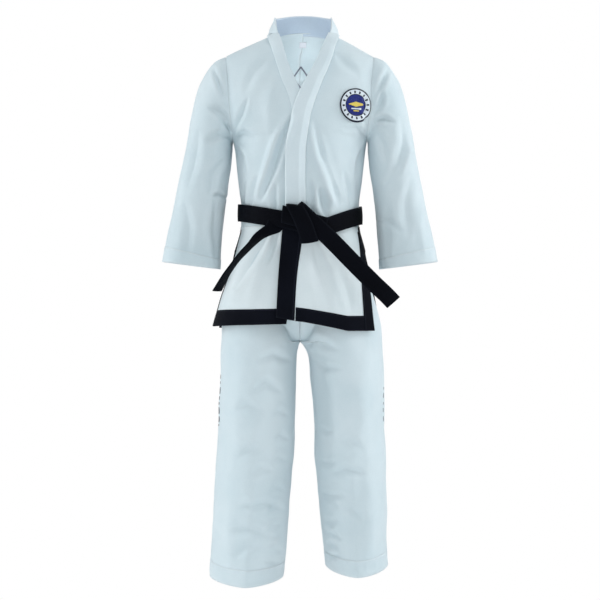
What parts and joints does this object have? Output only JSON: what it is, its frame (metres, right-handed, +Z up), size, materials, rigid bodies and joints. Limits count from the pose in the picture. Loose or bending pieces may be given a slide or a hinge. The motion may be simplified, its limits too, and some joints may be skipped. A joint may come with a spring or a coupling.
{
  "type": "martial arts uniform",
  "caption": "White martial arts uniform as worn: wrap jacket with wide sleeves and black trim, tied black belt, straight trousers.",
  "frame": {"origin": "centre of the neck opening, at the height of the neck-to-shoulder points, where a wearer or stand holds the uniform", "axes": "+Z up, the front faces -Y, +X towards the wearer's left"},
  "size_m": [0.66, 0.2881, 1.3712],
  "materials": {
    "white_cloth": "matte woven",
    "black_trim_cloth": "matte woven",
    "black_belt_webbing": "matte woven, stitched in rows",
    "grey_tape": "matte",
    "badge_blue": "embroidered"
  },
  "bodies": {
    "jacket": {"jacket_back_panel": "white_cloth", "jacket_front_left_panel": "white_cloth", "jacket_front_right_panel": "white_cloth", "front_band_left": "white_cloth", "front_band_right": "white_cloth", "collar_back": "white_cloth", "closure_hook_upper": "grey_tape", "closure_hook_lower": "grey_tape", "closure_loop_upper": "grey_tape", "closure_loop_lower": "grey_tape", "chest_badge": "badge_blue", "neck_label": "grey_tape", "belt_inner_turn": "black_belt_webbing", "belt_outer_turn": "black_belt_webbing", "belt_knot_core": "black_belt_webbing", "belt_knot_pass": "black_belt_webbing"},
    "left_sleeve": {"left_sleeve": "white_cloth", "left_cuff_hem": "white_cloth"},
    "right_sleeve": {"right_sleeve": "white_cloth", "right_cuff_hem": "white_cloth"},
    "left_front_skirt": {"left_front_skirt": "white_cloth", "left_front_edge_trim": "black_trim_cloth", "left_front_slit_trim": "black_trim_cloth", "left_front_hem_trim": "black_trim_cloth"},
    "right_front_skirt": {"right_front_skirt": "white_cloth", "right_front_slit_trim": "black_trim_cloth", "right_front_hem_trim": "black_trim_cloth"},
    "back_skirt": {"back_skirt": "white_cloth", "back_right_slit_trim": "black_trim_cloth", "back_left_slit_trim": "black_trim_cloth", "back_hem_trim": "black_trim_cloth"},
    "left_belt_tail": {"left_belt_tail": "black_belt_webbing"},
    "right_belt_tail": {"right_belt_tail": "black_belt_webbing"},
    "trousers": {"waistband": "white_cloth", "waist_elastic": "grey_tape", "left_seat": "white_cloth", "right_seat": "white_cloth", "crotch_gusset": "white_cloth"},
    "left_leg": {"left_leg": "white_cloth", "left_leg_hem": "white_cloth", "left_leg_side_patch": "grey_tape"},
    "right_leg": {"right_leg": "white_cloth", "right_leg_hem": "white_cloth", "right_leg_side_patch": "grey_tape"}
  },
  "joints": [
    {"name": "left_sleeve_swing", "type": "hinge", "parent": "jacket", "child": "left_sleeve", "pos_m": [0.172, 0, -0.1], "axis": [0, -1, 0], "range_deg": [0, 45]},
    {"name": "right_sleeve_swing", "type": "hinge", "parent": "jacket", "child": "right_sleeve", "pos_m": [-0.172, 0, -0.1], "axis": [0, 1, 0], "range_deg": [0, 45]},
    {"name": "left_front_skirt_lift", "type": "hinge", "parent": "jacket", "child": "left_front_skirt", "pos_m": [0.1081, -0.0731, -0.47], "axis": [-0.7071, -0.7071, 0], "range_deg": [0, 40]},
    {"name": "right_front_skirt_lift", "type": "hinge", "parent": "jacket", "child": "right_front_skirt", "pos_m": [-0.1081, -0.0731, -0.47], "axis": [-0.7071, 0.7071, 0], "range_deg": [0, 40]},
    {"name": "back_skirt_lift", "type": "hinge", "parent": "jacket", "child": "back_skirt", "pos_m": [0, 0.094, -0.47], "axis": [1, 0, 0], "range_deg": [0, 20]},
    {"name": "left_belt_tail_lift", "type": "hinge", "parent": "jacket", "child": "left_belt_tail", "pos_m": [0.083, -0.137, -0.48], "axis": [-0.7071, -0.7071, 0], "range_deg": [0, 60]},
    {"name": "right_belt_tail_lift", "type": "hinge", "parent": "jacket", "child": "right_belt_tail", "pos_m": [-0.063, -0.13, -0.456], "axis": [-0.7071, 0.7071, 0], "range_deg": [0, 60]},
    {"name": "trousers_down", "type": "slide", "parent": "jacket", "child": "trousers", "axis": [0, 0, -1], "range_m": [0, 0.75]},
    {"name": "left_leg_swing", "type": "hinge", "parent": "trousers", "child": "left_leg", "pos_m": [0.0975, 0, -0.7], "axis": [0, -1, 0], "range_deg": [0, 20]},
    {"name": "right_leg_swing", "type": "hinge", "parent": "trousers", "child": "right_leg", "pos_m": [-0.0975, 0, -0.7], "axis": [0, 1, 0], "range_deg": [0, 20]}
  ],
  "couplings": [
    {"joint": "left_belt_tail_lift", "follows": "left_front_skirt_lift", "ratio": 1.5},
    {"joint": "right_belt_tail_lift", "follows": "right_front_skirt_lift", "ratio": 1.5}
  ]
}
